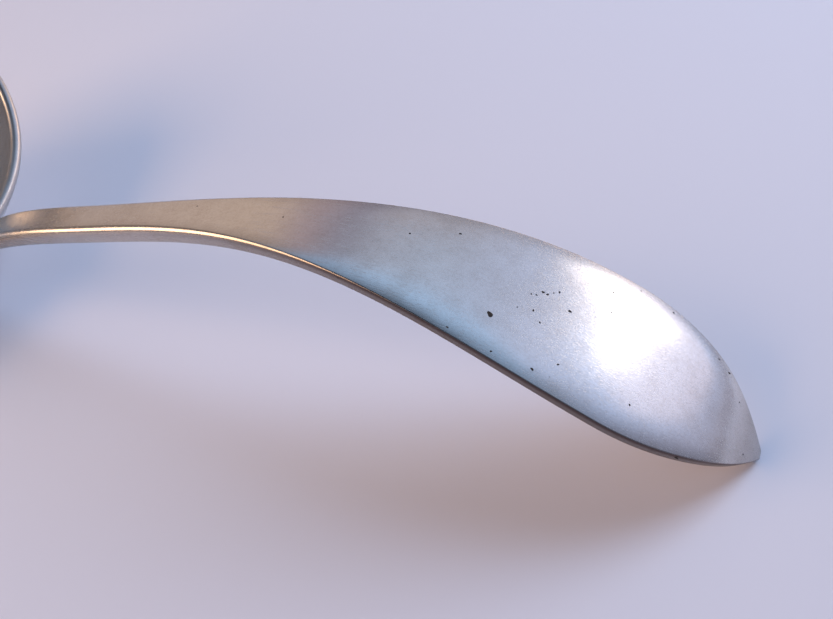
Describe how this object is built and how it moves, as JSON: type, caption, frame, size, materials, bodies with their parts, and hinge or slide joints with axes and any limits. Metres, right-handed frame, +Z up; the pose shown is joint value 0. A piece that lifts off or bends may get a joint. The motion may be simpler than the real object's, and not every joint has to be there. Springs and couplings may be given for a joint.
{
  "type": "sauce ladle",
  "caption": "Small silver sauce ladle with a round bowl and an arched handle that widens to a plain pointed end, laid down on its bowl and handle tip.",
  "frame": {"origin": "on the table under the middle of the ladle's overall length, on its plane of symmetry", "axes": "+X along the ladle from the bowl to the handle's tip, +Z up, as the ladle lies on a table"},
  "size_m": [0.1448, 0.056, 0.0401],
  "materials": {
    "raised_silver": "worn sterling silver, raised from sheet and polished, with fine scratches and light tarnish",
    "forged_silver": "worn sterling silver, forged and polished, with fine scratches, small dark pits and light tarnish",
    "silver_solder": "hard silver solder, slightly yellower and duller than the silver"
  },
  "bodies": {
    "root": {"bowl": "raised_silver", "handle": "forged_silver", "solder": "silver_solder"}
  },
  "joints": []
}
